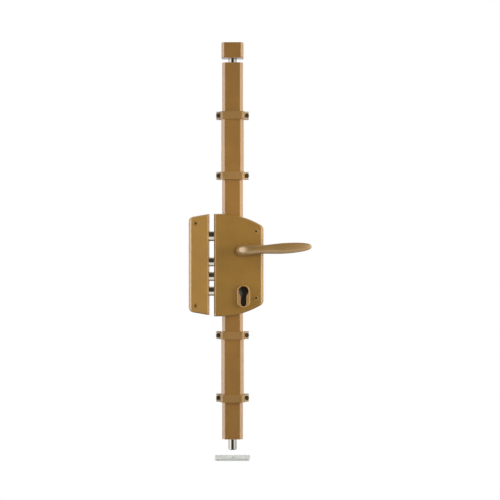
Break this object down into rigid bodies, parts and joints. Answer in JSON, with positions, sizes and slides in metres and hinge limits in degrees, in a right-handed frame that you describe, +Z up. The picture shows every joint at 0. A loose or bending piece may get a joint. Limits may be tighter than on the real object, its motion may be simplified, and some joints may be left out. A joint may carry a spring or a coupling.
{
  "type": "vertical rim lock",
  "caption": "Bronze vertical rim lock with lever handle, profile cylinder hole, bolts, keeper, and rods that run up and down in slim covers with saddle guides.",
  "frame": {"origin": "axis of the profile cylinder hole, on the door face", "axes": "+X to the right as seen from the room, +Y into the door, +Z up along the rods"},
  "size_m": [0.2083, 0.0766, 0.7129],
  "materials": {
    "bronze_paint": "satin metallic bronze paint",
    "bronze_paint_light": "satin metallic bronze paint, a little lighter",
    "bright_steel": "nickel plated, bright",
    "zinc_steel": "zinc plated",
    "dark_steel": "blackened steel",
    "brass_gear": "cut brass",
    "nylon": "moulded nylon"
  },
  "bodies": {
    "lock_case": {"back_plate": "zinc_steel", "case_cover": "bronze_paint", "cylinder_rosette": "bronze_paint_light", "case_cover_screws": "bronze_paint", "handle_bush": "bronze_paint", "handle_spring": "bright_steel", "latch_spring": "bright_steel", "latch_guide": "zinc_steel", "pinion_stud": "dark_steel", "carriage_stud": "dark_steel", "upper_cover_near": "bronze_paint", "upper_sleeve": "bronze_paint", "upper_cover_far": "bronze_paint", "lower_cover_near": "bronze_paint", "lower_sleeve": "bronze_paint", "lower_cover_far": "bronze_paint", "guide_top": "bronze_paint", "guide_upper": "bronze_paint", "guide_lower": "bronze_paint", "guide_bottom": "bronze_paint", "guide_screws": "dark_steel", "rod_bush_top": "nylon", "rod_bush_upper": "nylon", "rod_bush_lower": "nylon", "rod_bush_bottom": "nylon", "keeper_plate": "zinc_steel", "keeper_cover": "bronze_paint_light", "keeper_cover_screws": "bronze_paint", "top_keeper_plate": "zinc_steel", "top_keeper_cap": "bronze_paint", "floor_plate": "zinc_steel"},
    "handle": {"handle": "bronze_paint_light", "spindle": "zinc_steel", "handle_grub_screw": "dark_steel", "follower": "zinc_steel"},
    "latch": {"latch_bolt": "bright_steel"},
    "bolt_works": {"bolt_carriage": "zinc_steel", "deadbolt_upper": "bright_steel", "deadbolt_middle": "bright_steel", "deadbolt_lower": "bright_steel"},
    "pinion": {"pinion": "brass_gear"},
    "upper_rod": {"upper_rod": "bright_steel", "upper_rack_bar": "zinc_steel", "upper_rod_screw": "dark_steel"},
    "lower_rod": {"lower_rod": "bright_steel", "lower_rack_bar": "zinc_steel", "lower_rod_screw": "dark_steel"}
  },
  "joints": [
    {"name": "handle_turn", "type": "hinge", "parent": "lock_case", "child": "handle", "pos_m": [0, -0.032, 0.07], "axis": [0, 1, 0], "range_deg": [0, 40], "stiffness_Nm_per_rad": 0.9, "springref_deg": -34.38, "deforming": ["handle_spring"]},
    {"name": "latch_slide", "type": "slide", "parent": "lock_case", "child": "latch", "axis": [1, 0, 0], "range_m": [0, 0.012], "deforming": ["latch_spring"]},
    {"name": "bolt_throw", "type": "slide", "parent": "lock_case", "child": "bolt_works", "axis": [1, 0, 0], "range_m": [0, 0.018]},
    {"name": "pinion_spin", "type": "hinge", "parent": "lock_case", "child": "pinion", "pos_m": [-0.0255, 0, 0.0375], "axis": [0, 1, 0], "range_deg": [0, 137.6]},
    {"name": "upper_rod_slide", "type": "slide", "parent": "lock_case", "child": "upper_rod", "axis": [0, 0, 1], "range_m": [-0.018, 0]},
    {"name": "lower_rod_slide", "type": "slide", "parent": "lock_case", "child": "lower_rod", "axis": [0, 0, 1], "range_m": [0, 0.018]}
  ],
  "couplings": [
    {"joint": "latch_slide", "follows": "handle_turn", "m_per_rad": 0.017189},
    {"joint": "pinion_spin", "follows": "bolt_throw", "rad_per_m": 133.33},
    {"joint": "upper_rod_slide", "follows": "bolt_throw", "ratio": -1},
    {"joint": "lower_rod_slide", "follows": "bolt_throw", "ratio": 1}
  ]
}
